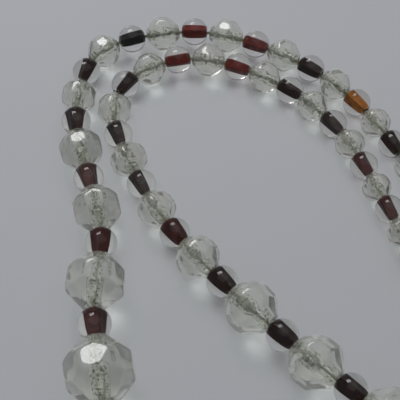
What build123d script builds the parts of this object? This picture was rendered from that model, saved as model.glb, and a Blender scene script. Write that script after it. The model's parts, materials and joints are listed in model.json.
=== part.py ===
"""A strand of graduated faceted glass beads with small lined spacer beads between them.

The strand lies closed on a flat surface, in millimetres, +Z up. The beads are threaded
on one cord whose two ends meet at a small metal bolt ring clasp. Each faceted bead turns
on the cord, and the bolt of the clasp slides round inside its ring.
"""

import os
from math import cos, pi, radians, sin, tan

from build123d import *

os.makedirs("parts", exist_ok=True)

# ---- driving dimensions, mm and degrees --------------------------------------------

# Faceted beads in stringing order: outer side from the clasp to the front, the largest
# bead, then the inner side back to the clasp.
outer_beads = [
    4.3, 4.3, 4.3, 4.4, 4.4, 4.4, 4.5, 4.8, 5.1, 5.3,
    5.3, 5.1, 5.4, 6.5, 7.1, 8.5, 9.8, 11.0, 12.0,
]
largest_bead = 12.5
inner_beads = [
    12.0, 11.0, 9.8, 8.6, 7.6, 7.4, 6.3, 5.6, 5.5, 5.3,
    5.0, 5.2, 5.0, 4.7, 4.5, 4.3, 4.3, 4.3, 4.3,
]
bead_diameters = [*outer_beads, largest_bead, *inner_beads]

facet_reach = 0.94  # a facet's distance from the bead's middle, as a share of its radius
bead_length_share = 0.96  # a faceted bead's length along the cord, as a share of its diameter
facet_count = 8  # facets in each row around a bead
facet_row_tilt = 42  # how far the two outer rows lean towards the ends of the bead
bore_base, bore_growth = 0.8, 0.09  # a bead's bore is base + growth x its diameter

spacer_base, spacer_growth = 3.6, 0.112  # a spacer's diameter follows the beads beside it
spacer_largest = 4.65
spacer_length_share = 0.917
# the square lining's width: small spacers, middling ones from 4.25 mm, large ones from 4.55 mm
lining_widths = {0: 1.05, 4.25: 1.35, 4.55: 1.6}
lining_hole_radius, lining_corner = 0.42, 0.12
spacers_per_group = 7

# space between neighbours on a straight run; the beads at the outer back are strung looser
slack, loose_slack = 0.05, 0.27
loose_beads = 12  # how many beads, from the outer end, are strung looser
rim_base, rim_growth = 0.55, 0.06  # neighbours on a bend meet at their rims, so sit further apart

thread_diameter = 0.5
corner_share = 0.45  # how much of its shorter run a corner of the cord takes up
thread_tuck = 1.0  # how much of the cord's end sits inside an end cap
cap_clearance = 0.25  # the first spacer starts this far from the outer end cap

cap_radius, cap_eye_radius, cap_wire = 1.35, 0.85, 0.22
eye_sink = 0.1  # how deep an eye's wire sits in the cap or the ring that carries it
jump_ring_radius, jump_ring_wire = 1.45, 0.25
jump_ring_play = 0.3  # space between the inner jump ring and the inside of the clasp ring
clasp_radius, clasp_tube, clasp_hollow = 2.5, 0.6, 0.38
clasp_eye_radius, clasp_eye_wire = 0.8, 0.22
gap_start, gap_end = 27, 72  # the ring's opening, in degrees from the inner end cap
bolt_radius, bolt_start, bolt_end = 0.34, 17, 135
thumb_angle, thumb_radius, thumb_reach, bolt_travel = 90, 0.2, 3.55, 57
slot_height, slot_margin, slot_reach = 0.48, 7, 4

# The cord's route, from the outer end cap round to the inner one: x and y from the middle
# of the strand, and the height at which the beads there carry it.
route_points = [
    (32.64, -10.98, 2.08), (37.64, -4.58, 2.08), (37.44, 4.22, 2.08), (31.54, 10.72, 2.08),
    (23.24, 15.02, 2.08), (15.94, 20.22, 2.09), (10.94, 27.22, 2.08), (6.84, 35.32, 2.12),
    (0.34, 43.12, 2.26), (-8.36, 48.52, 2.42), (-17.36, 51.92, 2.50), (-27.06, 51.22, 2.46),
    (-34.76, 48.22, 2.44), (-37.06, 40.82, 2.54), (-37.26, 33.22, 2.84), (-34.66, 24.02, 3.18),
    (-32.16, 14.82, 3.58), (-33.36, 5.22, 4.06), (-32.16, -4.38, 4.54), (-30.16, -15.78, 5.02),
    (-30.36, -28.38, 5.42), (-23.86, -40.68, 5.76), (-11.56, -49.48, 5.86), (3.24, -49.18, 5.60),
    (13.94, -39.78, 5.28), (16.24, -27.18, 4.86), (10.24, -16.98, 4.32), (1.64, -9.58, 3.80),
    (-7.36, -1.38, 3.56), (-15.96, 7.42, 3.26), (-23.96, 17.22, 2.72), (-29.16, 27.22, 2.60),
    (-32.56, 37.22, 2.52), (-28.66, 44.12, 2.42), (-20.06, 47.12, 2.42), (-11.81, 44.57, 2.38),
    (-4.16, 39.82, 2.24), (1.84, 33.32, 2.13), (5.74, 24.82, 2.09), (9.04, 16.42, 2.08),
    (12.04, 8.02, 2.08), (15.84, 0.62, 2.08), (20.34, -4.28, 2.08),
]

# ---- the cord's line ----------------------------------------------------------------


def corner_radii(points: list[Vector]) -> list[float]:
    """The radius of each corner of the route, as large as its two runs allow."""
    radii = []
    for before, corner, after in zip(points, points[1:], points[2:]):
        turn = (corner - before).get_angle(after - corner)
        shorter_run = min((corner - before).length, (after - corner).length)
        radii.append(corner_share * shorter_run / tan(radians(turn / 2)))
    return radii


route = [Vector(*point) for point in route_points]
radii = corner_radii(route)
with BuildLine() as thread_line:
    FilletPolyline(*route, radius=radii)
thread_wire = thread_line.wire()


def on_thread(distance: float) -> Vector:
    """The point of the cord's centre line at a distance from its outer end."""
    return thread_wire.position_at(distance, position_mode=PositionMode.LENGTH)


def along_thread(distance: float) -> Vector:
    """The cord's direction at a distance from its outer end."""
    return thread_wire.tangent_at(distance, position_mode=PositionMode.LENGTH)


# ---- where the beads sit -----------------------------------------------------------


def spacer_diameter(index: int) -> float:
    """The diameter of the spacer before bead number index, counted from 0."""
    beside = bead_diameters[max(index - 1, 0) : index + 1]
    return min(spacer_base + spacer_growth * sum(beside) / len(beside), spacer_largest)


def bead_plane(distance: float, diameter: float) -> Plane:
    """A bead's own plane: z along its bore, level, and x up, at its height on the floor."""
    half = bead_length_share * diameter / 2
    entry, middle, leave = (on_thread(distance + step) for step in (-half, 0, half))
    centre = ((entry + leave) * 0.5 + middle) * 0.5
    axis = Vector(leave.X - entry.X, leave.Y - entry.Y, 0)
    height = facet_reach * diameter / 2
    return Plane((centre.X, centre.Y, height), x_dir=(0, 0, 1), z_dir=axis)


def spacer_plane(distance: float) -> Plane:
    """A spacer's own plane: z along the cord, through its centre."""
    return Plane(on_thread(distance), z_dir=along_thread(distance))


bead_planes, spacer_planes, spacer_sizes = [], [], []
reached = thread_tuck + cap_clearance
previous_middle = reached
for index in range(len(bead_diameters) + 1):
    space = loose_slack if index < loose_beads else slack
    spacer_size = spacer_diameter(index)
    rim = rim_base + rim_growth * bead_diameters[min(index, len(bead_diameters) - 1)]
    lengths = [("spacer", spacer_length_share * spacer_size)]
    if index < len(bead_diameters):
        lengths.append(("bead", bead_length_share * bead_diameters[index]))
    for kind, length in lengths:
        middle = reached + length / 2
        bend = along_thread(previous_middle).get_angle(along_thread(middle))
        middle += space + rim * sin(radians(bend))
        if kind == "spacer":
            spacer_planes.append(spacer_plane(middle))
            spacer_sizes.append(spacer_size)
        else:
            bead_planes.append(bead_plane(middle, bead_diameters[index]))
        reached = middle + length / 2
        previous_middle = middle

# ---- the shapes of the two kinds of bead -----------------------------------------------

with BuildPart() as cut_glass:
    Sphere(1)
    for row_tilt, row_turn in ((-facet_row_tilt, 0.5), (0, 0), (facet_row_tilt, 0.5)):
        for number in range(facet_count):
            turn = radians(360 * (number + row_turn) / facet_count)
            level = cos(radians(row_tilt))
            normal = Vector(level * cos(turn), level * sin(turn), sin(radians(row_tilt)))
            split(bisect_by=Plane(normal * facet_reach, z_dir=normal), keep=Keep.BOTTOM)
    for end in (Vector(0, 0, 1), Vector(0, 0, -1)):
        split(bisect_by=Plane(end * bead_length_share, z_dir=end), keep=Keep.BOTTOM)


def lining_outline(diameter: float) -> Sketch:
    """The square outline, with small round corners, that a spacer's lining fills."""
    width = max(wide for smallest, wide in lining_widths.items() if diameter >= smallest)
    with BuildSketch() as outline:
        RectangleRounded(width, width, lining_corner)
    return outline.sketch


def spacer_glass_at(plane: Plane, diameter: float) -> Part:
    """A ball of clear glass with two flat ends and a square hole along the plane's z axis."""
    half = spacer_length_share * diameter / 2
    with BuildPart() as glass:
        Sphere(diameter / 2)
        split(bisect_by=Plane.XY.offset(half), keep=Keep.BOTTOM)
        split(bisect_by=Plane.XY.offset(-half), keep=Keep.TOP)
        with BuildSketch(Plane.XY.offset(-half)):
            add(lining_outline(diameter))
        extrude(amount=2 * half, mode=Mode.SUBTRACT)
    return glass.part.moved(plane.location)


def spacer_core_at(plane: Plane, diameter: float) -> Part:
    """The coloured lining of a spacer: a square tube that ends where its bead does."""
    half = spacer_length_share * diameter / 2
    with BuildPart() as core:
        with BuildSketch(Plane.XY.offset(-half)):
            add(lining_outline(diameter))
            Circle(lining_hole_radius, mode=Mode.SUBTRACT)
        extrude(amount=2 * half)
        Sphere(diameter / 2, mode=Mode.INTERSECT)
    return core.part.moved(plane.location)


# ---- the beads -----------------------------------------------------------------------

for number, (plane, diameter) in enumerate(zip(bead_planes, bead_diameters), start=1):
    blank = scale(cut_glass.part, by=diameter / 2).moved(plane.location)
    with BuildPart() as bead:
        add(blank)
        with Locations(plane.location):
            Cylinder((bore_base + bore_growth * diameter) / 2, 2 * diameter, mode=Mode.SUBTRACT)
    bead.part.label = f"bead_{number:02d}"
    export_step(bead.part, f"parts/bead_{number:02d}.step")

spacers = list(zip(spacer_planes, spacer_sizes))
groups = [spacers[i : i + spacers_per_group] for i in range(0, len(spacers), spacers_per_group)]
for number, group in enumerate(groups, start=1):
    glass_beads = [spacer_glass_at(plane, size) for plane, size in group]
    linings = [spacer_core_at(plane, size) for plane, size in group]
    with BuildPart() as spacer_glass:
        add(glass_beads)
    spacer_glass.part.label = f"spacer_glass_{number}"
    export_step(spacer_glass.part, f"parts/spacer_glass_{number}.step")
    with BuildPart() as spacer_cores:
        add(linings)
    spacer_cores.part.label = f"spacer_cores_{number}"
    export_step(spacer_cores.part, f"parts/spacer_cores_{number}.step")

# ---- the thread -------------------------------------------------------------------------

with BuildPart() as thread:
    with BuildSketch(Plane(thread_wire @ 0, z_dir=thread_wire % 0)):
        Circle(thread_diameter / 2)
    sweep(path=thread_wire)
thread.part.label = "thread"
export_step(thread.part, "parts/thread.step")

# ---- the end caps and the clasp -----------------------------------------------------------


def end_cap_plane(end: Vector, outward: Vector) -> Plane:
    """An end cap's plane: its centre, x pointing away from the strand, and z up."""
    return Plane(end + outward * (cap_radius - thread_tuck), x_dir=outward, z_dir=(0, 0, 1))


def level(direction: Vector) -> Vector:
    """The same direction without its rise, one long."""
    return Vector(direction.X, direction.Y, 0).normalized()


outer_cap_plane = end_cap_plane(thread_wire @ 0, level(thread_wire % 0) * -1)
inner_cap_plane = end_cap_plane(thread_wire @ 1, level(thread_wire % 1))
cap_eye_offset = cap_radius + cap_eye_radius - eye_sink
outer_eye = outer_cap_plane.from_local_coords((cap_eye_offset, 0, 0))
inner_eye = inner_cap_plane.from_local_coords((cap_eye_offset, 0, 0))

# the chain runs straight from the outer cap's eye to the inner one's
chain = level(inner_eye - outer_eye)
clasp_eye_offset = clasp_radius + clasp_tube + clasp_eye_radius + clasp_eye_wire - eye_sink
inner_ring_offset = clasp_radius - clasp_tube - jump_ring_play + jump_ring_radius
outer_ring_centre = outer_eye + chain * jump_ring_radius
clasp_centre = outer_ring_centre + chain * (jump_ring_radius + clasp_eye_offset)
inner_ring_centre = clasp_centre + chain * inner_ring_offset
chain_end = inner_ring_centre + chain * jump_ring_radius
clasp_plane = Plane(clasp_centre, x_dir=chain, z_dir=(0, 0, 1))

mouth_radius = thread_diameter / 2
mouth_reach = (cap_radius**2 - mouth_radius**2) ** 0.5
tuck_end = thread_tuck - cap_radius
with BuildPart() as cap_shape:
    with BuildSketch(Plane.XY):
        with BuildLine():
            ThreePointArc((-mouth_reach, mouth_radius), (0, cap_radius), (cap_radius, 0))
            Polyline(
                (cap_radius, 0),
                (tuck_end, 0),
                (tuck_end, mouth_radius),
                (-mouth_reach, mouth_radius),
            )
        make_face()
    revolve(axis=Axis.X)
    with Locations((cap_eye_offset, 0, 0)):
        Torus(cap_eye_radius, cap_wire)

for name, plane in (("outer_end_cap", outer_cap_plane), ("inner_end_cap", inner_cap_plane)):
    with BuildPart() as end_cap:
        add(cap_shape.part.moved(plane.location))
    end_cap.part.label = name
    export_step(end_cap.part, f"parts/{name}.step")

for name, centre in (("outer_jump_ring", outer_ring_centre), ("inner_jump_ring", inner_ring_centre)):
    upright = Plane(centre, x_dir=chain, z_dir=chain.cross(Vector(0, 0, 1)))
    with BuildPart() as jump_ring:
        with Locations(upright.location):
            Torus(jump_ring_radius, jump_ring_wire)
    jump_ring.part.label = name
    export_step(jump_ring.part, f"parts/{name}.step")

slot_start = thumb_angle - slot_margin
slot_sweep = bolt_travel + 2 * slot_margin
with BuildPart() as clasp_ring:
    with Locations(clasp_plane.location):
        Torus(
            clasp_radius,
            clasp_tube,
            major_angle=360 - (gap_end - gap_start),
            rotation=(0, 0, gap_end),
            align=None,
        )
        with Locations((-clasp_eye_offset, 0, 0)):
            Torus(clasp_eye_radius, clasp_eye_wire)
        Torus(clasp_radius, clasp_hollow, mode=Mode.SUBTRACT)
    level_only = (None, None, Align.CENTER)
    slot_outside = Cylinder(
        slot_reach, slot_height, arc_size=slot_sweep, align=level_only, mode=Mode.PRIVATE
    )
    slot_inside = Cylinder(clasp_radius, slot_height, mode=Mode.PRIVATE)
    slot = Rot(0, 0, slot_start) * (slot_outside - slot_inside)
    add(slot.moved(clasp_plane.location), mode=Mode.SUBTRACT)
clasp_ring.part.label = "clasp_ring"
export_step(clasp_ring.part, "parts/clasp_ring.step")

thumb_length = thumb_reach - clasp_radius
with BuildPart() as clasp_bolt:
    with Locations(clasp_plane.location):
        Torus(
            clasp_radius,
            bolt_radius,
            major_angle=bolt_end - bolt_start,
            rotation=(0, 0, bolt_start),
            align=None,
        )
    outward = Vector(cos(radians(thumb_angle)), sin(radians(thumb_angle)), 0)
    thumb_axis = clasp_plane.from_local_coords(outward) - clasp_centre
    with BuildSketch(Plane(clasp_centre + thumb_axis * clasp_radius, z_dir=thumb_axis)):
        Circle(thumb_radius)
    extrude(amount=thumb_length)
clasp_bolt.part.label = "clasp_bolt"
export_step(clasp_bolt.part, "parts/clasp_bolt.step")

# ---- figures to check --------------------------------------------------------------------

print("corner radii", [round(radius, 1) for radius in radii])
print("thread length", round(thread_wire.length, 2), "beads end at", round(reached, 2))
section = pi * thread_diameter**2 / 4
print("thread volume", round(thread.part.volume, 3), "section x length", round(section * thread_wire.length, 3))
print("chain ends", round((chain_end - inner_eye).length, 3), "from the inner cap's eye")
for name, solid in (("clasp ring", clasp_ring.part), ("clasp bolt", clasp_bolt.part)):
    print(name, "solids", len(solid.solids()), "volume", round(solid.volume, 3))
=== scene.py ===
"""Dresses a closed strand of graduated cut glass beads and lays it on a pale table.

Every faceted bead is cut again with its own slightly uneven facets, every small round
spacer gets clear glass over a coloured lining, and the cord is twisted from three plies.
The metal clasp keeps its shapes and gets a plated, rubbed finish.
"""

import json
import logging
from dataclasses import dataclass
from enum import Enum
from math import cos, radians, sin

import bpy
import numpy as np
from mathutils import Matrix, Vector


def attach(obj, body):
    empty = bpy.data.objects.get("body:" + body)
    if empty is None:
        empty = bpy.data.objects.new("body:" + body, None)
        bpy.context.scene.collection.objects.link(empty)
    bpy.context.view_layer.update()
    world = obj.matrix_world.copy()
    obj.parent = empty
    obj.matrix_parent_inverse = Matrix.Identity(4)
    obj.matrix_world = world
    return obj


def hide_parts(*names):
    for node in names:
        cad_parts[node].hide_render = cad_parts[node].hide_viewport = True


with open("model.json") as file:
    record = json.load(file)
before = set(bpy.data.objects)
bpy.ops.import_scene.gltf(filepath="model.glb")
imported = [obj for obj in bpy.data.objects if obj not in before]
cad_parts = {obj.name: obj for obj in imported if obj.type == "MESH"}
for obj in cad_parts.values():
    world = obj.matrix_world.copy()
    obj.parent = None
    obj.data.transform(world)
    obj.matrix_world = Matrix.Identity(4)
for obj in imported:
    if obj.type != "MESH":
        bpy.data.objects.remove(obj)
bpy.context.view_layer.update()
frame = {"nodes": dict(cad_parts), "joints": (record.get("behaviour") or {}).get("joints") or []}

log = logging.getLogger("strand")
MM = 0.001

# The cord's route, from the outer end cap round to the inner one, in metres.
ROUTE: tuple[tuple[float, float, float], ...] = (
    (0.03264, -0.01098, 0.00208), (0.03764, -0.00458, 0.00208), (0.03744, 0.00422, 0.00208),
    (0.03154, 0.01072, 0.00208), (0.02324, 0.01502, 0.00208), (0.01594, 0.02022, 0.00209),
    (0.01094, 0.02722, 0.00208), (0.00684, 0.03532, 0.00212), (0.00034, 0.04312, 0.00226),
    (-0.00836, 0.04852, 0.00242), (-0.01736, 0.05192, 0.00250), (-0.02706, 0.05122, 0.00246),
    (-0.03476, 0.04822, 0.00244), (-0.03706, 0.04082, 0.00254), (-0.03726, 0.03322, 0.00284),
    (-0.03466, 0.02402, 0.00318), (-0.03216, 0.01482, 0.00358), (-0.03336, 0.00522, 0.00406),
    (-0.03216, -0.00438, 0.00454), (-0.03016, -0.01578, 0.00502), (-0.03036, -0.02838, 0.00542),
    (-0.02386, -0.04068, 0.00576), (-0.01156, -0.04948, 0.00586), (0.00324, -0.04918, 0.00560),
    (0.01394, -0.03978, 0.00528), (0.01624, -0.02718, 0.00486), (0.01024, -0.01698, 0.00432),
    (0.00164, -0.00958, 0.00380), (-0.00736, -0.00138, 0.00356), (-0.01596, 0.00742, 0.00326),
    (-0.02396, 0.01722, 0.00272), (-0.02916, 0.02722, 0.00260), (-0.03256, 0.03722, 0.00252),
    (-0.02866, 0.04412, 0.00242), (-0.02006, 0.04712, 0.00242), (-0.01181, 0.04457, 0.00238),
    (-0.00416, 0.03982, 0.00224), (0.00184, 0.03332, 0.00213), (0.00574, 0.02482, 0.00209),
    (0.00904, 0.01642, 0.00208), (0.01204, 0.00802, 0.00208), (0.01584, 0.00062, 0.00208),
    (0.02034, -0.00428, 0.00208),
)


class Slot(Enum):
    """The material slots of the record."""

    CUT_GLASS = "cut_glass"
    SPACER_GLASS = "spacer_glass"
    LINING = "lining"
    THREAD = "thread"
    CLASP_METAL = "clasp_metal"


class Tone(Enum):
    """How a spacer's lining looks: the share of the way from near black to amber."""

    BLACK = 0.0
    DARK = 0.2
    BROWN = 0.4
    RED = 0.6
    AMBER = 1.0


# ---- meshes ---------------------------------------------------------------------------


@dataclass
class Shell:
    """A closed ring-shaped surface: points[row, column], both of which run right round.

    Attributes:
        points: rows x columns x 3 positions, in metres.
        rubbed: rows x columns, how much each point is worn by its neighbours, 0 to 1.
        tone: rows x columns or one number, for finishes that differ over a shell or between
            shells.
    """

    points: np.ndarray
    rubbed: np.ndarray
    tone: np.ndarray | float = 0.0

    def faces(self) -> np.ndarray:
        """The shell's quads as vertex numbers, turned so that they point outwards.

        Returns:
            An n x 4 array.
        """
        rows, columns = self.points.shape[:2]
        number = np.arange(rows * columns).reshape(rows, columns)
        beside = np.roll(number, -1, axis=1)
        quads = np.stack(
            [number, beside, np.roll(beside, -1, axis=0), np.roll(number, -1, axis=0)], axis=-1
        ).reshape(-1, 4)
        flat = self.points.reshape(-1, 3)
        flat = flat - flat.mean(axis=0)
        corner = [flat[quads[:, k]] for k in range(4)]
        volume = np.einsum("ij,ij->i", corner[0], np.cross(corner[1], corner[2])).sum()
        volume += np.einsum("ij,ij->i", corner[0], np.cross(corner[2], corner[3])).sum()
        return quads if volume > 0 else quads[:, ::-1]


def make_piece(name: str, shells: list[Shell], material: bpy.types.Material) -> bpy.types.Object:
    """Puts shells into one mesh object with its wear and tone as attributes.

    Args:
        name: the piece's name.
        shells: the closed surfaces that it consists of.
        material: its finish.

    Returns:
        The new object, at the origin, unturned and unscaled.
    """
    sizes = [shell.points.shape[0] * shell.points.shape[1] for shell in shells]
    starts = np.concatenate([[0], np.cumsum(sizes)[:-1]])
    points = np.concatenate([shell.points.reshape(-1, 3) for shell in shells])
    quads = np.concatenate([shell.faces() + start for shell, start in zip(shells, starts)])
    mesh = bpy.data.meshes.new(name)
    mesh.vertices.add(len(points))
    mesh.vertices.foreach_set("co", points.astype(np.float32).ravel())
    mesh.loops.add(quads.size)
    mesh.loops.foreach_set("vertex_index", quads.astype(np.int32).ravel())
    mesh.polygons.add(len(quads))
    mesh.polygons.foreach_set("loop_start", np.arange(0, quads.size, 4, dtype=np.int32))
    mesh.polygons.foreach_set("use_smooth", np.ones(len(quads), dtype=bool))
    mesh.update(calc_edges=True)
    mesh.validate()
    rubbed = np.concatenate([shell.rubbed.ravel() for shell in shells])
    tone = np.concatenate(
        [np.broadcast_to(shell.tone, shell.rubbed.shape).ravel() for shell in shells]
    )
    for label, values in (("rubbed", rubbed), ("tone", tone)):
        layer = mesh.attributes.new(label, "FLOAT", "POINT")
        layer.data.foreach_set("value", values.astype(np.float32))
    mesh.materials.append(material)
    piece = bpy.data.objects.new(name, mesh)
    bpy.context.scene.collection.objects.link(piece)
    return piece


def axes_about(bore: np.ndarray, up: np.ndarray) -> np.ndarray:
    """Three unit directions as rows: one near up, one beside it, and the bore's own.

    Args:
        bore: the direction of a bead's bore.
        up: the direction that the first axis keeps closest to.

    Returns:
        A 3 x 3 array that turns a bead's own x, y and z into the frame's.
    """
    along = bore / np.linalg.norm(bore)
    first = up - along * (up @ along)
    first /= np.linalg.norm(first)
    return np.stack([first, np.cross(along, first), along])


UP = np.array([0.0, 0.0, 1.0])


# ---- finishes --------------------------------------------------------------------------


class NodeBench:
    """Adds nodes to one tree and joins them."""

    def __init__(self, tree: bpy.types.NodeTree) -> None:
        """Empties the tree and keeps it.

        Args:
            tree: the tree that the nodes go into.
        """
        self.tree = tree
        tree.nodes.clear()

    def add(self, kind: str, settings: dict | None = None, **inputs: object) -> bpy.types.Node:
        """Adds a node.

        Args:
            kind: the node's type name.
            settings: its own properties by name.
            inputs: its sockets by name, spaces written as underscores: a value or a socket.

        Returns:
            The node.
        """
        node = self.tree.nodes.new(kind)
        for key, value in (settings or {}).items():
            setattr(node, key, value)
        for key, value in inputs.items():
            self.feed(node.inputs[key.replace("_", " ")], value)
        return node

    def feed(self, socket: bpy.types.NodeSocket, value: object) -> None:
        """Sets a socket to a value, or joins it to another socket.

        Args:
            socket: the input socket.
            value: a plain value, or the output socket that feeds it.
        """
        if isinstance(value, bpy.types.NodeSocket):
            self.tree.links.new(value, socket)
        else:
            socket.default_value = value

    def group(self, tree: bpy.types.NodeTree, **inputs: object) -> bpy.types.Node:
        """Adds a node group with its inputs set.

        Args:
            tree: the group's own tree.
            inputs: its sockets by name, spaces written as underscores: a value or a socket.

        Returns:
            The group's node.
        """
        node = self.tree.nodes.new("ShaderNodeGroup")
        node.node_tree = tree
        for key, value in inputs.items():
            self.feed(node.inputs[key.replace("_", " ")], value)
        return node


def new_group(
    name: str, inputs: dict[str, str], outputs: dict[str, str]
) -> tuple[bpy.types.NodeTree, NodeBench, bpy.types.Node, bpy.types.Node]:
    """Starts a shader node group.

    Args:
        name: the group's name.
        inputs: its inputs, by name, with the kind of socket each has.
        outputs: its outputs, likewise.

    Returns:
        The tree, its bench, its input node and its output node.
    """
    tree = bpy.data.node_groups.new(name, "ShaderNodeTree")
    bench = NodeBench(tree)
    for in_out, sockets in (("INPUT", inputs), ("OUTPUT", outputs)):
        for label, kind in sockets.items():
            tree.interface.new_socket(name=label, in_out=in_out, socket_type=kind)
    return tree, bench, bench.add("NodeGroupInput"), bench.add("NodeGroupOutput")


FLOAT, COLOUR = "NodeSocketFloat", "NodeSocketColor"


def build_wear_group() -> bpy.types.NodeTree:
    """Roughness that grows, in broken patches, where a piece rubs against others.

    Returns:
        A group: worn = polished + (scuffed - polished) x rubbed x patches of noise.
    """
    tree, bench, given, result = new_group(
        "wear",
        {"Scale": FLOAT, "Polished": FLOAT, "Scuffed": FLOAT},
        {"Roughness": FLOAT, "Mask": FLOAT},
    )
    where = bench.add("ShaderNodeTexCoord")
    rubbed = bench.add("ShaderNodeAttribute", {"attribute_name": "rubbed"})
    noise = bench.add(
        "ShaderNodeTexNoise",
        Vector=where.outputs["Object"],
        Scale=given.outputs["Scale"],
        Detail=5.0,
        Roughness=0.65,
    )
    patches = bench.add(
        "ShaderNodeMapRange",
        Value=noise.outputs[0],
        From_Min=0.42,
        From_Max=0.68,
        To_Min=0.0,
        To_Max=1.0,
    )
    mask = bench.add("ShaderNodeMath", {"operation": "MULTIPLY"})
    bench.feed(mask.inputs[0], patches.outputs[0])
    bench.feed(mask.inputs[1], rubbed.outputs["Fac"])
    roughness = bench.add(
        "ShaderNodeMapRange",
        Value=mask.outputs[0],
        To_Min=given.outputs["Polished"],
        To_Max=given.outputs["Scuffed"],
    )
    bench.feed(result.inputs["Roughness"], roughness.outputs[0])
    bench.feed(result.inputs["Mask"], mask.outputs[0])
    return tree


def build_mottle_group() -> bpy.types.NodeTree:
    """Two colours in soft clouds.

    Returns:
        A group: colour = first mixed with second by noise between two thresholds.
    """
    tree, bench, given, result = new_group(
        "mottle",
        {"Scale": FLOAT, "Low": FLOAT, "High": FLOAT, "First": COLOUR, "Second": COLOUR},
        {"Color": COLOUR, "Mask": FLOAT},
    )
    where = bench.add("ShaderNodeTexCoord")
    noise = bench.add(
        "ShaderNodeTexNoise",
        Vector=where.outputs["Object"],
        Scale=given.outputs["Scale"],
        Detail=4.0,
        Roughness=0.6,
    )
    mask = bench.add(
        "ShaderNodeMapRange",
        Value=noise.outputs[0],
        From_Min=given.outputs["Low"],
        From_Max=given.outputs["High"],
    )
    mixed = bench.add("ShaderNodeMix", {"data_type": "RGBA"})
    bench.feed(mixed.inputs[0], mask.outputs[0])
    bench.feed(mixed.inputs[6], given.outputs["First"])
    bench.feed(mixed.inputs[7], given.outputs["Second"])
    bench.feed(result.inputs["Color"], mixed.outputs[2])
    bench.feed(result.inputs["Mask"], mask.outputs[0])
    return tree


WEAR = build_wear_group()
MOTTLE = build_mottle_group()
RGB = tuple[float, float, float]


def new_material(name: str) -> tuple[bpy.types.Material, NodeBench, bpy.types.Node]:
    """Starts a material.

    Args:
        name: the material's name.

    Returns:
        The material, its bench and its output node.
    """
    material = bpy.data.materials.new(name)
    material.use_nodes = True
    bench = NodeBench(material.node_tree)
    return material, bench, bench.add("ShaderNodeOutputMaterial")


def grain(bench: NodeBench, scale: float, strength: float, distance: float) -> bpy.types.NodeSocket:
    """Fine unevenness as a normal.

    Args:
        bench: the material's bench.
        scale: how fine the grain is, in waves a metre.
        strength: how strongly it shows.
        distance: how deep it is, in metres.

    Returns:
        The normal's socket.
    """
    where = bench.add("ShaderNodeTexCoord")
    noise = bench.add(
        "ShaderNodeTexNoise", Vector=where.outputs["Object"], Scale=scale, Detail=3.0
    )
    bump = bench.add(
        "ShaderNodeBump", Strength=strength, Distance=distance, Height=noise.outputs[0]
    )
    return bump.outputs[0]


@dataclass(frozen=True)
class GlassFinish:
    """Clear glass with a faint tint, which lets lamps shine through it.

    Where a piece's tone is 1, as in a bead's bore, the wall is specked with old dirt and
    filled with wax, so that it bends light less.

    Attributes:
        tint: the glass's colour.
        second_tint: its colour in soft clouds.
        polished: its roughness where nothing rubs it.
        scuffed: its roughness where its neighbours rub it.
        shadow: the colour of the light that falls through it.
        dirt: the specks' colour.
        refraction: the clean glass's index.
        ripple: how strongly the surface waves.
        waxed_refraction: the index where it is filled with wax.
        clearness: the share of it that lets light through without scattering it.
        coat: how much polish lies over it.
    """

    tint: RGB
    second_tint: RGB
    polished: float
    scuffed: float
    shadow: RGB
    dirt: RGB = (0.15, 0.17, 0.11)
    refraction: float = 1.5
    ripple: float = 0.12
    waxed_refraction: float = 1.04
    clearness: float = 1.0
    coat: float = 0.0

    def material(self, name: str) -> bpy.types.Material:
        """The finish as a material.

        Args:
            name: the material's name.

        Returns:
            The material.
        """
        material, bench, output = new_material(name)
        tint = bench.group(
            MOTTLE,
            Scale=260.0,
            Low=0.35,
            High=0.7,
            First=(*self.tint, 1),
            Second=(*self.second_tint, 1),
        )
        specks = bench.group(
            MOTTLE,
            Scale=2400.0,
            Low=0.53,
            High=0.60,
            First=tint.outputs["Color"],
            Second=(*self.dirt, 1),
        )
        inner = bench.add("ShaderNodeAttribute", {"attribute_name": "tone"})
        colour = bench.add("ShaderNodeMix", {"data_type": "RGBA"})
        bench.feed(colour.inputs[0], inner.outputs["Fac"])
        bench.feed(colour.inputs[6], tint.outputs["Color"])
        bench.feed(colour.inputs[7], specks.outputs["Color"])
        wear = bench.group(WEAR, Scale=2600.0, Polished=self.polished, Scuffed=self.scuffed)
        bending = bench.add("ShaderNodeMix", {"data_type": "FLOAT"})
        bench.feed(bending.inputs[0], inner.outputs["Fac"])
        bench.feed(bending.inputs[2], self.refraction)
        bench.feed(bending.inputs[3], self.waxed_refraction)
        glass = bench.add(
            "ShaderNodeBsdfPrincipled",
            Base_Color=colour.outputs[2],
            Roughness=wear.outputs["Roughness"],
            IOR=bending.outputs[0],
            Transmission_Weight=self.clearness,
            Coat_Weight=self.coat,
            Coat_Roughness=0.03,
            Normal=grain(bench, 900.0, self.ripple, 2e-5),
        )
        through = bench.add("ShaderNodeBsdfTransparent", Color=(*self.shadow, 1))
        path = bench.add("ShaderNodeLightPath")
        mixed = bench.add("ShaderNodeMixShader")
        bench.feed(mixed.inputs[0], path.outputs["Is Shadow Ray"])
        bench.feed(mixed.inputs[1], glass.outputs[0])
        bench.feed(mixed.inputs[2], through.outputs[0])
        bench.feed(output.inputs["Surface"], mixed.outputs[0])
        return material


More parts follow.
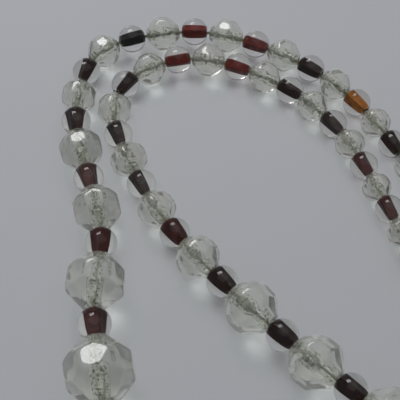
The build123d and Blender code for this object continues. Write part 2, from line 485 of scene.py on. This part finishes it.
@dataclass(frozen=True)
class LacquerFinish:
    """The lacquer in a spacer's bore, from near black through brown and red to amber.

    Attributes:
        shades: each tone's colour, in the order of the tones.
        roughness: its roughness where it isn't worn.
        worn: its roughness at the worn ends.
    """

    shades: dict[Tone, RGB]
    roughness: float
    worn: float = 0.7

    def material(self, name: str) -> bpy.types.Material:
        """The finish as a material.

        Args:
            name: the material's name.

        Returns:
            The material.
        """
        material, bench, output = new_material(name)
        tone = bench.add("ShaderNodeAttribute", {"attribute_name": "tone"})
        ramp = bench.add("ShaderNodeValToRGB", Fac=tone.outputs["Fac"])
        steps = ramp.color_ramp.elements
        for shade in list(self.shades)[1:-1]:
            steps.new(shade.value)
        for step, colour in zip(steps, self.shades.values()):
            step.color = (*colour, 1)
        cloud = bench.group(
            MOTTLE, Scale=1500.0, Low=0.35, High=0.7, First=(1, 1, 1, 1), Second=(0.45, 0.42, 0.4, 1)
        )
        clouded = bench.add("ShaderNodeMix", {"data_type": "RGBA", "blend_type": "MULTIPLY"})
        clouded.inputs[0].default_value = 1.0
        bench.feed(clouded.inputs[6], ramp.outputs[0])
        bench.feed(clouded.inputs[7], cloud.outputs["Color"])
        wear = bench.group(WEAR, Scale=3000.0, Polished=self.roughness, Scuffed=self.worn)
        lacquer = bench.add(
            "ShaderNodeBsdfPrincipled",
            Base_Color=clouded.outputs[2],
            Roughness=wear.outputs["Roughness"],
            Normal=grain(bench, 2200.0, 0.25, 4e-5),
            Specular_IOR_Level=0.2,
        )
        bench.feed(output.inputs["Surface"], lacquer.outputs[0])
        return material


@dataclass(frozen=True)
class ThreadFinish:
    """Twisted cotton, olive grey, with dark flecks of old wax and dirt.

    Attributes:
        cotton: the lighter fibres' colour.
        shade: the darker fibres' colour.
        fleck: the flecks' colour.
    """

    cotton: RGB
    shade: RGB
    fleck: RGB

    def material(self, name: str) -> bpy.types.Material:
        """The finish as a material.

        Args:
            name: the material's name.

        Returns:
            The material.
        """
        material, bench, output = new_material(name)
        fibre = bench.group(
            MOTTLE,
            Scale=2500.0,
            Low=0.35,
            High=0.65,
            First=(*self.cotton, 1),
            Second=(*self.shade, 1),
        )
        fleck = bench.group(
            MOTTLE,
            Scale=3400.0,
            Low=0.55,
            High=0.62,
            First=fibre.outputs["Color"],
            Second=(*self.fleck, 1),
        )
        cotton = bench.add(
            "ShaderNodeBsdfPrincipled",
            Base_Color=fleck.outputs["Color"],
            Roughness=0.92,
            Sheen_Weight=0.25,
            Normal=grain(bench, 9000.0, 0.8, 4e-5),
        )
        bench.feed(output.inputs["Surface"], cotton.outputs[0])
        return material


@dataclass(frozen=True)
class PlatedFinish:
    """Plated metal that has been handled: fine scuffs and slightly dull patches.

    Attributes:
        plate: the bright plating's colour.
        dull: the dull patches' colour.
        polished: the roughness of the bright plating.
        scuffed: the roughness of the dull patches.
    """

    plate: RGB
    dull: RGB
    polished: float
    scuffed: float

    def material(self, name: str) -> bpy.types.Material:
        """The finish as a material.

        Args:
            name: the material's name.

        Returns:
            The material.
        """
        material, bench, output = new_material(name)
        patina = bench.group(
            MOTTLE,
            Scale=900.0,
            Low=0.4,
            High=0.75,
            First=(*self.plate, 1),
            Second=(*self.dull, 1),
        )
        roughness = bench.add(
            "ShaderNodeMapRange",
            Value=patina.outputs["Mask"],
            To_Min=self.polished,
            To_Max=self.scuffed,
        )
        metal = bench.add(
            "ShaderNodeBsdfPrincipled",
            Base_Color=patina.outputs["Color"],
            Metallic=1.0,
            Roughness=roughness.outputs[0],
            Normal=grain(bench, 5200.0, 0.15, 2e-5),
        )
        bench.feed(output.inputs["Surface"], metal.outputs[0])
        return material


@dataclass(frozen=True)
class TableFinish:
    """A smooth pale table top.

    Attributes:
        pale: its colour.
        shade: its colour in wide soft clouds.
    """

    pale: RGB
    shade: RGB

    def material(self, name: str) -> bpy.types.Material:
        """The finish as a material.

        Args:
            name: the material's name.

        Returns:
            The material.
        """
        material, bench, output = new_material(name)
        cloud = bench.group(
            MOTTLE,
            Scale=6.0,
            Low=0.3,
            High=0.7,
            First=(*self.pale, 1),
            Second=(*self.shade, 1),
        )
        table = bench.add(
            "ShaderNodeBsdfPrincipled",
            Base_Color=cloud.outputs["Color"],
            Roughness=0.6,
            Specular_IOR_Level=0.3,
        )
        bench.feed(output.inputs["Surface"], table.outputs[0])
        return material


# ---- the faceted beads ---------------------------------------------------------------------


@dataclass
class CutBead:
    """One faceted bead, whose facets are a little uneven, as hand cutting leaves them.

    Attributes:
        number: its place on the strand, from 1.
        centre: its middle, in metres.
        bore: the direction of its bore.
        diameter: across its roundest part, in metres.
        facet_count: the facets in each of the three rows.
        row_tilt: how far the outer rows tilt towards the ends, in degrees.
        reach: a facet's distance from the middle, as a share of the radius.
        length_share: the length along the bore, as a share of the diameter.
        lean: how far the bead may be rolled off its lowest facet, in degrees.
        uneven_turn: how unevenly the facets are turned, in degrees.
        uneven_reach: how unevenly deep they are, as a share of the radius.
        edge_share: how wide the rubbed edges between them are, likewise.
        facet_seed: starts the random draws. This one turns a facet of beads 14 and 17
            towards the window.
        bore_base: the bore's diameter in a bead of no size, in metres.
        bore_growth: how much wider the bore is for each metre of diameter.
        mouth_flare: how much wider the bore's mouth is than the bore.
        large_from: the diameter from which a bead gets the finer mesh, in metres.
    """

    number: int
    centre: np.ndarray
    bore: np.ndarray
    diameter: float
    facet_count: int = 8
    row_tilt: float = 42.0
    reach: float = 0.915
    length_share: float = 0.96
    lean: float = 11.0
    uneven_turn: float = 2.2
    uneven_reach: float = 0.008
    edge_share: float = 0.03
    facet_seed: int = 8845
    bore_base: float = 0.8 * MM
    bore_growth: float = 0.09
    mouth_flare: float = 1.06
    large_from: float = 7 * MM

    @property
    def bore_radius(self) -> float:
        """The bore's radius, in metres."""
        return (self.bore_base + self.bore_growth * self.diameter) / 2

    def cuts(self) -> tuple[np.ndarray, np.ndarray]:
        """The planes that cut the bead out of a ball of radius 1.

        Three rows of facets round the bore and the two flat ends, each facet turned and
        moved by a small random amount, and the whole bead leaned on its lowest facet.

        Returns:
            The planes' normals, n x 3, and their distances from the middle.
        """
        chance = np.random.default_rng(self.facet_seed + self.number)
        lean = chance.uniform(-self.lean, self.lean)
        count = 3 * self.facet_count
        tilts, turns = [], []
        for tilt, start in ((-self.row_tilt, 0.5), (0.0, 0.0), (self.row_tilt, 0.5)):
            tilts.append(np.full(self.facet_count, tilt))
            turns.append(360 * (np.arange(self.facet_count) + start) / self.facet_count + lean)
        tilt = np.radians(np.concatenate(tilts) + chance.normal(0, self.uneven_turn, count))
        turn = np.radians(np.concatenate(turns) + chance.normal(0, self.uneven_turn, count))
        facets = np.stack(
            [np.cos(tilt) * np.cos(turn), np.cos(tilt) * np.sin(turn), np.sin(tilt)], axis=-1
        )
        ends = np.array([[0.0, 0.0, 1.0], [0.0, 0.0, -1.0]])
        reach = self.reach + chance.uniform(-self.uneven_reach, self.uneven_reach, count)
        return np.concatenate([facets, ends]), np.append(reach, [self.length_share] * 2)

    def shell(self) -> Shell:
        """The bead's surface, outside and through the bore.

        Outside, a point lies in its direction at the radius where the planes' and the
        ball's shares, each raised to a high power, add up to one. That is flat on the
        facets and softly rounded where they meet. Inside, the profile runs straight back
        through the bore.

        Returns:
            The shell.
        """
        large = self.diameter > self.large_from
        around, along, power = (144, 76, 70.0) if large else (96, 52, 48.0)
        normals, reaches = self.cuts()
        bore = self.bore_radius / (self.diameter / 2)
        mouth = np.arctan2(bore * self.mouth_flare, self.length_share)
        slant = np.linspace(mouth, np.pi - mouth, along)
        turn = np.linspace(0, 2 * np.pi, around, endpoint=False)
        slant, turn = np.meshgrid(slant, turn, indexing="ij")
        ways = np.stack([np.sin(slant) * np.cos(turn), np.sin(slant) * np.sin(turn), np.cos(slant)], -1)
        shares = np.maximum(ways @ normals.T, 0) / reaches
        total = (shares**power).sum(axis=-1) + 1.0
        outside = ways * (total ** (-1 / power))[..., None]
        ordered = np.sort(np.concatenate([shares, np.ones_like(shares[..., :1])], -1), axis=-1)
        edge = np.clip(1 - (ordered[..., -1] - ordered[..., -2]) / self.edge_share, 0, 1)

        depth = self.length_share * np.array([0.985, 0.95, 0.6, 0.0, -0.6, -0.95, -0.985])
        width = bore * np.array([1.02, 1.0, 1.0, 1.0, 1.0, 1.0, 1.02])
        inside = np.stack(
            [
                width[:, None] * np.cos(turn[:1]),
                width[:, None] * np.sin(turn[:1]),
                np.repeat(depth[:, None], around, axis=1),
            ],
            -1,
        )[::-1]
        own = np.concatenate([outside, inside]) * (self.diameter / 2)
        rubbed = np.concatenate([edge, np.full(inside.shape[:2], 1.0)])
        dirt = np.concatenate([np.zeros(edge.shape), np.full(inside.shape[:2], 1.0)])
        return Shell(self.centre + own @ axes_about(self.bore, UP), rubbed, dirt)


# ---- the round spacers -----------------------------------------------------------------------


@dataclass
class LinedSpacer:
    """One small round bead of clear glass with a coloured, roughly square lining.

    Attributes:
        number: its place on the strand, from 1.
        centre: its middle, in metres.
        bore: the direction of its bore.
        diameter: across its roundest part, in metres.
        length: along the bore, in metres.
        lining_width: across the flats of the square lining, in metres.
        tone: the lining's colour.
        lining_hole: the radius of the round hole in the lining, in metres.
        overlap: how far the lining reaches into the glass, in metres.
        inset: how far the ends and the lining stay under the ball's surface, in metres.
        corner_power: how sharp the square's corners are.
        around: the points in each ring.
        spin_seed: starts the random turn about the bore.
    """

    number: int
    centre: np.ndarray
    bore: np.ndarray
    diameter: float
    length: float
    lining_width: float
    tone: Tone
    lining_hole: float = 0.42 * MM
    overlap: float = 0.05 * MM
    inset: float = 0.03 * MM
    corner_power: float = 16.0
    around: int = 72
    spin_seed: int = 9200

    def placed(
        self, radius: np.ndarray, depth: np.ndarray, squareness: np.ndarray, inset: float = 0.0
    ) -> np.ndarray:
        """Carries a profile round the bore and puts it in place.

        A ring whose squareness is 0 is a circle. At 1 it is a square with round corners:
        radius / (cos^p + sin^p)^(1/p), and it turns smoothly between the two. No ring
        comes nearer to the ball's surface than the inset.

        Args:
            radius: each ring's radius, or half its width where it is square.
            depth: each ring's place along the bore.
            squareness: each ring's share of the square form.
            inset: the least depth under the ball's surface.

        Returns:
            rings x around x 3 points in the frame.
        """
        spin = np.random.default_rng(self.spin_seed + self.number).uniform(0, np.pi / 2)
        turn = np.linspace(0, 2 * np.pi, self.around, endpoint=False)
        power = self.corner_power
        square = (np.cos(turn) ** power + np.sin(turn) ** power) ** (-1 / power)
        ring = radius[:, None] * (1 + squareness[:, None] * (square - 1))
        limit = np.sqrt((self.diameter / 2) ** 2 - depth**2)[:, None] - inset
        ring = np.minimum(ring, limit)
        own = np.stack(
            [
                ring * np.cos(turn + spin),
                ring * np.sin(turn + spin),
                np.repeat(depth[:, None], self.around, axis=1),
            ],
            -1,
        )
        return self.centre + own @ axes_about(self.bore, UP)

    def wall(self) -> tuple[np.ndarray, np.ndarray]:
        """The lining's outer wall: straight in the middle and drawn in at the ends.

        Returns:
            Places from near the middle to an end, as shares of half the length, and half
            the lining's width at each.
        """
        share = np.array([0.1, 0.5, 0.7, 0.82, 0.92, 0.98, 1.0])
        drawn = np.array([1.0, 1.0, 0.985, 0.95, 0.88, 0.80, 0.76])
        return share, np.maximum(self.lining_width / 2 * drawn, self.lining_hole + self.overlap)

    def glass(self) -> Shell:
        """The clear bead: a ball with two flat ends and a square hole.

        The hole's wall stands a hair inside the lining, so that the two touch as glass
        and lacquer do.

        Returns:
            The shell.
        """
        half, widest = self.length / 2, self.diameter / 2
        slant = np.linspace(-1, 1, 40) * np.arcsin(half / widest)
        rim = widest * np.cos(slant[-1])
        share, wall = self.wall()
        hole = wall[::-1] - self.overlap
        end_radius = np.array([rim * 0.98, (rim + hole[0]) / 2, *hole])
        end_depth = half * np.array([1.0, 1.0, *share[::-1]])
        end_square = np.array([0.0, 0.5, *np.ones(len(hole))])
        points = np.concatenate(
            [
                self.placed(widest * np.cos(slant), widest * np.sin(slant), 0 * slant),
                self.placed(end_radius, end_depth, end_square, self.inset),
                self.placed(end_radius[::-1], -end_depth[::-1], end_square[::-1], self.inset),
            ]
        )
        depth = np.concatenate([widest * np.sin(slant), end_depth, end_depth[::-1]])
        rubbed = np.clip((np.abs(depth) / half - 0.75) / 0.25, 0, 1) * 0.8
        return Shell(points, np.repeat(rubbed[:, None], self.around, axis=1))

    def lining(self) -> Shell:
        """The lining: a square tube with slightly dished ends.

        Returns:
            The shell.
        """
        half, hole = self.length / 2, self.lining_hole
        share, wall = self.wall()
        in_radius = np.array([(wall[-1] + hole) / 2, hole * 1.03, hole, hole])
        in_depth = half * np.array([0.99, 0.98, 0.9, 0.4])
        radius = np.concatenate([wall[::-1], wall, in_radius, in_radius[::-1]])
        depth = np.concatenate([-half * share[::-1], half * share, in_depth, -in_depth[::-1]])
        squareness = np.concatenate([np.ones(2 * len(wall)), [0.5, 0, 0, 0, 0, 0, 0, 0.5]])
        points = self.placed(radius, depth, squareness, self.inset)
        rubbed = np.clip((np.abs(depth) / half - 0.85) / 0.15, 0, 1)
        return Shell(points, np.repeat(rubbed[:, None], self.around, axis=1), self.tone.value)


# ---- the strand ----------------------------------------------------------------------------


@dataclass
class Strand:
    """All the glass: the faceted beads and the spacers between them.

    Attributes:
        cut_glass: the faceted beads' finish.
        spacer_glass: the spacers' finish.
        lacquer: the linings' finish.
        tones: the spacers' numbers by tone. The others are dark.
        group_size: the spacers in each CAD node.
        lining_corner: the radius of the CAD lining's corners, in metres.
        end_step: from an end bead's face to the middle of the spacer past it, in metres.
    """

    cut_glass: GlassFinish
    spacer_glass: GlassFinish
    lacquer: LacquerFinish
    tones: dict[Tone, tuple[int, ...]]
    group_size: int = 7
    lining_corner: float = 0.12 * MM
    end_step: float = 2.1 * MM

    def beads(self) -> list[CutBead]:
        """The faceted beads, placed by their joints and sized by their CAD solids.

        Returns:
            The beads in stringing order.
        """
        found = []
        for joint in frame["joints"]:
            name = joint["child"]
            if not name.startswith("bead_"):
                continue
            centre, bore = np.array(joint["pos_m"]), np.array(joint["axis"])
            points = vertices_of(frame["nodes"][name].data) - centre
            diameter = 2 * np.linalg.norm(points, axis=1).max()
            found.append(CutBead(int(name.removeprefix("bead_")), centre, bore, diameter))
        return sorted(found, key=lambda bead: bead.number)

    def spacers(self, beads: list[CutBead]) -> list[LinedSpacer]:
        """The spacers, each found among the CAD solids that lie between two beads.

        Args:
            beads: the faceted beads in order.

        Returns:
            The spacers in stringing order.
        """
        lining_names = sorted(n for n in frame["nodes"] if n.startswith("spacer_cores_"))
        glass_names = sorted(n for n in frame["nodes"] if n.startswith("spacer_glass_"))
        lining = np.concatenate([vertices_of(frame["nodes"][n].data) for n in lining_names])
        glass = np.concatenate([vertices_of(frame["nodes"][n].data) for n in glass_names])
        fronts = [b.centre - b.bore * b.length_share * b.diameter / 2 for b in beads]
        backs = [b.centre + b.bore * b.length_share * b.diameter / 2 for b in beads]
        guesses = [(back + front) / 2 for back, front in zip(backs, fronts[1:])]
        before_first = fronts[0] - beads[0].bore * self.end_step
        after_last = backs[-1] + beads[-1].bore * self.end_step
        guesses = np.array([before_first, *guesses, after_last])
        lining_owner = np.linalg.norm(lining[:, None] - guesses, axis=-1).argmin(axis=1)
        glass_owner = np.linalg.norm(glass[:, None] - guesses, axis=-1).argmin(axis=1)
        found = []
        for index in range(len(guesses)):
            own = np.unique(np.round(lining[lining_owner == index], 7), axis=0)
            centre = (own.max(axis=0) + own.min(axis=0)) / 2
            bore = np.linalg.svd(own - own.mean(axis=0))[2][0]
            bore = bore if bore @ beads[min(index, len(beads) - 1)].bore > 0 else -bore
            length = np.ptp(own @ bore)
            around = glass[glass_owner == index] - centre
            across = np.linalg.norm(around - np.outer(around @ bore, bore), axis=1)
            from_axis = np.linalg.norm(own - centre - np.outer((own - centre) @ bore, bore), axis=1)
            flat = (from_axis.max() - self.lining_corner) / np.sqrt(2) + self.lining_corner
            number = index + 1
            tone = next((t for t, numbers in self.tones.items() if number in numbers), Tone.DARK)
            found.append(
                LinedSpacer(number, centre, bore, 2 * across.max(), length, 2 * flat, tone)
            )
        return found

    def build(self) -> None:
        """Makes every bead and spacer and hangs each on its body."""
        beads = self.beads()
        cut = self.cut_glass.material("cut_glass")
        for bead in beads:
            name = f"bead_{bead.number:02d}"
            piece = make_piece(f"{name}_cut", [bead.shell()], cut)
            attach(piece, name)
            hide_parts(name)
        log.info("%d faceted beads, %.1f to %.1f mm", len(beads), *self.span(beads))
        spacers = self.spacers(beads)
        clear = self.spacer_glass.material("spacer_glass")
        lacquer = self.lacquer.material("lining")
        for start in range(0, len(spacers), self.group_size):
            group = spacers[start : start + self.group_size]
            number = start // self.group_size + 1
            glass = make_piece(f"spacers_{number}_glass", [s.glass() for s in group], clear)
            lining = make_piece(f"spacers_{number}_lining", [s.lining() for s in group], lacquer)
            for piece, node, slot in (
                (glass, f"spacer_glass_{number}", Slot.SPACER_GLASS),
                (lining, f"spacer_cores_{number}", Slot.LINING),
            ):
                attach(piece, "root")
                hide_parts(node)
        log.info("%d spacers, %.1f to %.1f mm", len(spacers), *self.span(spacers))

    @staticmethod
    def span(pieces: list) -> tuple[float, float]:
        """The smallest and the largest diameter.

        Args:
            pieces: beads or spacers.

        Returns:
            Both diameters, in millimetres.
        """
        sizes = [piece.diameter / MM for piece in pieces]
        return min(sizes), max(sizes)


def vertices_of(mesh: bpy.types.Mesh) -> np.ndarray:
    """A mesh's vertices.

    Args:
        mesh: the mesh.

    Returns:
        An n x 3 array, in metres.
    """
    flat = np.empty(3 * len(mesh.vertices), dtype=np.float32)
    mesh.vertices.foreach_get("co", flat)
    return flat.reshape(-1, 3).astype(float)


# ---- the thread ------------------------------------------------------------------------------


@dataclass
class Thread:
    """The cord, twisted from plies that wind round its route.

    The spline's end span cuts its first corner, where a bead sits, so that corner's point
    pulls harder than the others and keeps the cord clear of the bore's wall.

    Attributes:
        finish: its material.
        diameter: of the circle that the plies fill as they turn, in metres.
        plies: how many are twisted together.
        pitch: the length of one full twist, in metres.
        ply_share: a ply's diameter as a share of the thread's.
        sides: the points round a ply.
        step: the distance between a ply's rings, in metres.
        first_corner_pull: the weight of the route's second point. The others weigh 1.
    """

    finish: ThreadFinish
    diameter: float = 0.5 * MM
    plies: int = 3
    pitch: float = 1.5 * MM
    ply_share: float = 0.52
    sides: int = 7
    step: float = 0.12 * MM
    first_corner_pull: float = 1.5

    def route(self) -> np.ndarray:
        """The cord's centre line: a smooth spline that the route's points pull into shape.

        Returns:
            n x 3 points, in metres.
        """
        curve = bpy.data.curves.new("thread_route", "CURVE")
        curve.dimensions = "3D"
        curve.resolution_u = 24
        spline = curve.splines.new("NURBS")
        spline.points.add(len(ROUTE) - 1)
        weighted = np.column_stack([np.array(ROUTE), np.ones(len(ROUTE))])
        weighted[1, 3] = self.first_corner_pull
        spline.points.foreach_set("co", weighted.ravel())
        spline.order_u = 3
        spline.use_endpoint_u = True
        line = bpy.data.objects.new("thread_route", curve)
        bpy.context.scene.collection.objects.link(line)
        bpy.context.view_layer.update()
        mesh = bpy.data.meshes.new_from_object(line)
        points = vertices_of(mesh)
        bpy.data.meshes.remove(mesh)
        bpy.data.objects.remove(line)
        bpy.data.curves.remove(curve)
        return points

    def build(self) -> None:
        """Each ply's middle circles the route once in every pitch, and each ply is a round
        tube, closed at both ends.
        """
        line = self.route()
        run = np.concatenate([[0], np.cumsum(np.linalg.norm(np.diff(line, axis=0), axis=1))])
        length = run[-1]
        at = np.linspace(0, length, int(length / self.step))
        middle = np.stack([np.interp(at, run, line[:, k]) for k in range(3)], axis=-1)
        ahead = np.gradient(middle, axis=0)
        ahead /= np.linalg.norm(ahead, axis=1, keepdims=True)
        side = np.cross(ahead, UP)
        side /= np.linalg.norm(side, axis=1, keepdims=True)
        above = np.cross(side, ahead)
        ply_radius = self.diameter / 2 * self.ply_share
        orbit = self.diameter / 2 - ply_radius
        around = np.linspace(0, 2 * np.pi, self.sides, endpoint=False)
        closing = np.ones(len(at) + 2)
        closing[[0, -1]] = 0.0
        reach = (ply_radius * closing)[:, None, None]
        index = np.concatenate([[0], np.arange(len(at)), [len(at) - 1]])
        ring = np.cos(around)[None, :, None] * side[index][:, None]
        ring = ring + np.sin(around)[None, :, None] * above[index][:, None]
        tubes = []
        for ply in range(self.plies):
            twist = (2 * np.pi * (at / self.pitch + ply / self.plies))[:, None]
            core = middle + orbit * (np.cos(twist) * side + np.sin(twist) * above)
            tubes.append(core[index][:, None] + reach * ring)
        piece = make_tubes("thread_plies", tubes, self.finish.material("thread"))
        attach(piece, "root")
        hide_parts("thread")
        log.info("thread, %.1f mm long in %d plies", length / MM, self.plies)


def make_tubes(
    name: str, tubes: list[np.ndarray], material: bpy.types.Material
) -> bpy.types.Object:
    """Puts tubes that are drawn to a point at both ends into one mesh object.

    Args:
        name: the piece's name.
        tubes: rings x sides x 3 points each, the first and last ring drawn to a point.
        material: its finish.

    Returns:
        The new object.
    """
    mesh = bpy.data.meshes.new(name)
    points, faces, start = [], [], 0
    for tube in tubes:
        rings, sides = tube.shape[:2]
        body = tube[1:-1].reshape(-1, 3)
        number = np.arange(len(body)).reshape(rings - 2, sides) + start
        beside = np.roll(number, -1, axis=1)
        quads = np.stack([number[:-1], number[1:], beside[1:], beside[:-1]], -1).reshape(-1, 4)
        first, last = start + len(body), start + len(body) + 1
        points.extend([body, tube[0, :1], tube[-1, :1]])
        faces.extend(quads.tolist())
        faces.extend(np.column_stack([beside[0], np.full(sides, first), number[0]]).tolist())
        faces.extend(np.column_stack([number[-1], np.full(sides, last), beside[-1]]).tolist())
        start = last + 1
    mesh.from_pydata(np.concatenate(points).tolist(), [], faces)
    mesh.polygons.foreach_set("use_smooth", np.ones(len(mesh.polygons), dtype=bool))
    mesh.materials.append(material)
    piece = bpy.data.objects.new(name, mesh)
    bpy.context.scene.collection.objects.link(piece)
    return piece


# ---- the clasp -----------------------------------------------------------------------------


@dataclass
class Clasp:
    """The end caps, jump rings and bolt ring, which keep their shapes.

    Attributes:
        finish: their material.
        nodes: their CAD nodes.
    """

    finish: PlatedFinish
    nodes: tuple[str, ...] = (
        "outer_end_cap",
        "inner_end_cap",
        "outer_jump_ring",
        "inner_jump_ring",
        "clasp_ring",
        "clasp_bolt",
    )

    def dress(self) -> None:
        """Gives each metal part its finish."""
        metal = self.finish.material("clasp_metal")
        for name in self.nodes:
            mesh = frame["nodes"][name].data
            mesh.materials.clear()
            mesh.materials.append(metal)
        log.info("clasp, %d parts", len(self.nodes))


# ---- the studio ----------------------------------------------------------------------------


@dataclass
class Studio:
    """The table, the lights and the camera.

    Attributes:
        table: the table's finish.
        target: the point of the table that the camera looks at, in metres.
        elevation: how high the camera stands, in degrees above the table.
        distance: from the camera to the target, in metres.
        field: the camera's field of view, in degrees.
        table_side: the table's length and width, in metres.
        sky: the colour of the light from all round.
        sky_strength: its strength.
    """

    table: TableFinish
    target: Vector
    elevation: float = 57.94
    distance: float = 176.46 * MM
    field: float = 18.47
    table_side: float = 3.0
    sky: RGB = (0.86, 0.92, 1.0)
    sky_strength: float = 0.14

    def build_camera(self) -> None:
        """Stands the camera in front of the strand, looking down at it."""
        data = bpy.data.cameras.new("camera")
        data.angle = radians(self.field)
        data.clip_start = 5 * MM
        camera = bpy.data.objects.new("camera", data)
        back = Vector((0, -cos(radians(self.elevation)), sin(radians(self.elevation))))
        camera.location = self.target + back * self.distance
        camera.rotation_euler = (-back).to_track_quat("-Z", "Y").to_euler()
        bpy.context.scene.collection.objects.link(camera)
        bpy.context.scene.camera = camera

    def add_softbox(self, name: str, place: Vector, width: float, height: float, power: float) -> None:
        """Hangs a rectangular softbox that faces the target.

        Args:
            name: the light's name.
            place: its middle, in metres.
            width: its width, in metres.
            height: its height, in metres.
            power: its power, in watts.
        """
        data = bpy.data.lights.new(name, "AREA")
        data.shape = "RECTANGLE"
        data.size, data.size_y, data.energy = width, height, power
        lamp = bpy.data.objects.new(name, data)
        lamp.location = place
        lamp.rotation_euler = (self.target - place).to_track_quat("-Z", "Y").to_euler()
        bpy.context.scene.collection.objects.link(lamp)

    def build(self) -> None:
        """Lays the table, hangs the lights and sets the soft sky around them."""
        half = self.table_side / 2
        corners = [(-half, -half, 0), (half, -half, 0), (half, half, 0), (-half, half, 0)]
        mesh = bpy.data.meshes.new("table")
        mesh.from_pydata(corners, [], [(0, 1, 2, 3)])
        mesh.materials.append(self.table.material("table"))
        table = bpy.data.objects.new("table", mesh)
        bpy.context.scene.collection.objects.link(table)
        window, ceiling = Vector((-0.16, 0.40, 0.42)), Vector((0.05, 0.10, 0.90))
        self.add_softbox("window", window, width=0.26, height=0.20, power=0.95)
        self.add_softbox("ceiling", ceiling, width=1.1, height=1.1, power=1.3)
        world = bpy.data.worlds.new("room")
        world.use_nodes = True
        sky = world.node_tree.nodes["Background"]
        sky.inputs["Color"].default_value = (*self.sky, 1)
        sky.inputs["Strength"].default_value = self.sky_strength
        bpy.context.scene.world = world
        bpy.context.scene.view_settings.view_transform = "Standard"


def main() -> None:
    """Builds the whole scene and reports each part of it."""
    logging.basicConfig(level=logging.INFO, format="%(name)s: %(message)s")
    studio = Studio(
        table=TableFinish(pale=(0.79, 0.80, 0.83), shade=(0.76, 0.77, 0.80)),
        target=Vector((-18.96, 22.62, 0)) * MM,
    )
    studio.build_camera()
    Thread(
        ThreadFinish(
            cotton=(0.34, 0.36, 0.25), shade=(0.20, 0.22, 0.14), fleck=(0.045, 0.055, 0.035)
        )
    ).build()
    Strand(
        cut_glass=GlassFinish(
            tint=(0.99, 0.985, 0.945),
            second_tint=(0.955, 0.955, 0.89),
            polished=0.06,
            scuffed=0.26,
            clearness=0.86,
            coat=0.7,
            shadow=(0.82, 0.84, 0.82),
        ),
        spacer_glass=GlassFinish(
            tint=(0.95, 0.935, 0.925),
            second_tint=(0.90, 0.88, 0.87),
            polished=0.01,
            scuffed=0.2,
            shadow=(0.84, 0.82, 0.82),
            ripple=0.05,
        ),
        lacquer=LacquerFinish(
            shades={
                Tone.BLACK: (0.006, 0.003, 0.002),
                Tone.DARK: (0.024, 0.006, 0.004),
                Tone.BROWN: (0.07, 0.011, 0.007),
                Tone.RED: (0.17, 0.014, 0.006),
                Tone.AMBER: (0.46, 0.16, 0.010),
            },
            roughness=0.5,
        ),
        tones={
            Tone.BLACK: (12,),
            Tone.BROWN: (15, 16, 17, 28, 36, 37),
            Tone.RED: (10, 11, 32, 33),
            Tone.AMBER: (8,),
        },
    ).build()
    Clasp(
        PlatedFinish(plate=(0.72, 0.71, 0.68), dull=(0.55, 0.54, 0.50), polished=0.16, scuffed=0.42)
    ).dress()
    studio.build()


if __name__ == "__main__":
    main()
